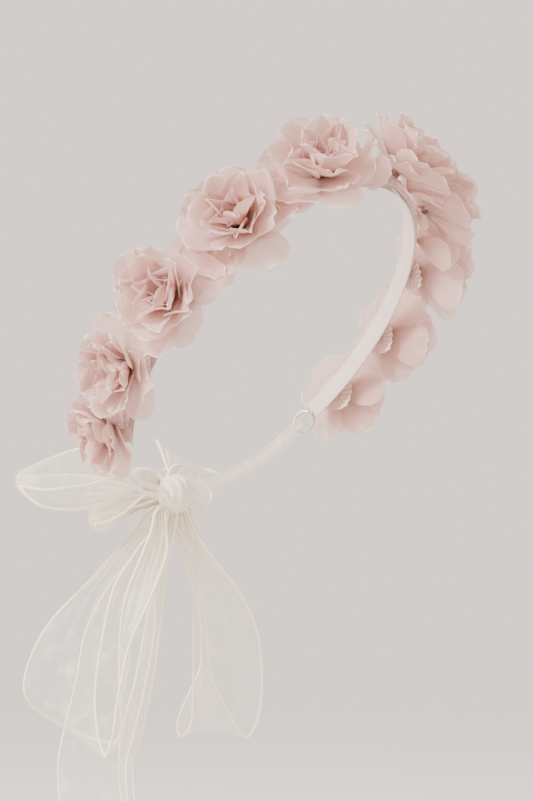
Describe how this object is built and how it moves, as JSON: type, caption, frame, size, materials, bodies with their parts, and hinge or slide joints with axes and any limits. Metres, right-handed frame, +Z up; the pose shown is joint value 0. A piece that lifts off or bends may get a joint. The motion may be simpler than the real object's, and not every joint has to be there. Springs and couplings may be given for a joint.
{
  "type": "flower crown",
  "caption": "Open ring of layered chiffon flowers on a ribbon-wrapped wire, closed at the nape by ribbon ties and a sheer wire-edged bow with long tails.",
  "frame": {"origin": "centre of the ring that the head fills, on the core wire's plane", "axes": "+Z up as worn, -Y the wearer's front, -X the wearer's right; the ring leans back 51 degrees about X, high at the front and low at the nape"},
  "size_m": [0.2311, 0.2303, 0.4874],
  "materials": {
    "wire": "satin",
    "band_ribbon": "satin ribbon, wound",
    "lining": "matte grosgrain",
    "backing": "gathered matte",
    "chiffon": "sheer matte weave",
    "chiffon_heart": "folded sheer matte weave",
    "organza": "sheer crisp sheen with a wired edge"
  },
  "bodies": {
    "garland": {"core_wire": "wire", "band_wrap": "band_ribbon", "lining_ribbon": "lining", "flower_right_1_backing": "backing", "flower_right_1_outer_petals": "chiffon", "flower_right_1_middle_petals": "chiffon", "flower_right_1_heart": "chiffon_heart", "flower_right_2_backing": "backing", "flower_right_2_outer_petals": "chiffon", "flower_right_2_middle_petals": "chiffon", "flower_right_2_heart": "chiffon_heart", "flower_right_3_backing": "backing", "flower_right_3_outer_petals": "chiffon", "flower_right_3_middle_petals": "chiffon", "flower_right_3_heart": "chiffon_heart", "flower_right_4_backing": "backing", "flower_right_4_outer_petals": "chiffon", "flower_right_4_middle_petals": "chiffon", "flower_right_4_heart": "chiffon_heart", "flower_right_5_backing": "backing", "flower_right_5_outer_petals": "chiffon", "flower_right_5_middle_petals": "chiffon", "flower_right_5_heart": "chiffon_heart", "gap_ruffle_right_1": "chiffon", "gap_ruffle_right_2": "chiffon", "tie_ribbon_right": "organza", "flower_left_1_backing": "backing", "flower_left_1_outer_petals": "chiffon", "flower_left_1_middle_petals": "chiffon", "flower_left_1_heart": "chiffon_heart", "flower_left_2_backing": "backing", "flower_left_2_outer_petals": "chiffon", "flower_left_2_middle_petals": "chiffon", "flower_left_2_heart": "chiffon_heart", "flower_left_3_backing": "backing", "flower_left_3_outer_petals": "chiffon", "flower_left_3_middle_petals": "chiffon", "flower_left_3_heart": "chiffon_heart", "flower_left_4_backing": "backing", "flower_left_4_outer_petals": "chiffon", "flower_left_4_middle_petals": "chiffon", "flower_left_4_heart": "chiffon_heart", "flower_left_5_backing": "backing", "flower_left_5_outer_petals": "chiffon", "flower_left_5_middle_petals": "chiffon", "flower_left_5_heart": "chiffon_heart", "gap_ruffle_left_1": "chiffon", "gap_ruffle_left_2": "chiffon", "tie_ribbon_left": "organza", "front_twist": "chiffon"},
    "bow": {"bow_knot": "organza", "upper_loop_right": "organza", "lower_loop_right": "organza", "upper_loop_left": "organza", "lower_loop_left": "organza"},
    "hanging_loop_right": {"hanging_loop_right": "organza"},
    "tail_right": {"tail_right": "organza"},
    "hanging_loop_left": {"hanging_loop_left": "organza"},
    "tail_left": {"tail_left": "organza"}
  },
  "joints": [
    {"name": "bow_tilt", "type": "hinge", "parent": "garland", "child": "bow", "pos_m": [0, 0.06797, -0.08393], "axis": [1, 0, 0], "range_deg": [-10, 25]},
    {"name": "hanging_loop_right_swing", "type": "hinge", "parent": "bow", "child": "hanging_loop_right", "pos_m": [-0.01, 0.07297, -0.09293], "axis": [1, 0, 0], "range_deg": [-8, 20]},
    {"name": "tail_right_swing", "type": "hinge", "parent": "bow", "child": "tail_right", "pos_m": [-0.0035, 0.07297, -0.09293], "axis": [1, 0, 0], "range_deg": [-10, 50]},
    {"name": "hanging_loop_left_swing", "type": "hinge", "parent": "bow", "child": "hanging_loop_left", "pos_m": [0.01, 0.07297, -0.09293], "axis": [1, 0, 0], "range_deg": [-8, 20]},
    {"name": "tail_left_swing", "type": "hinge", "parent": "bow", "child": "tail_left", "pos_m": [0.0035, 0.07297, -0.09293], "axis": [1, 0, 0], "range_deg": [-10, 50]}
  ]
}
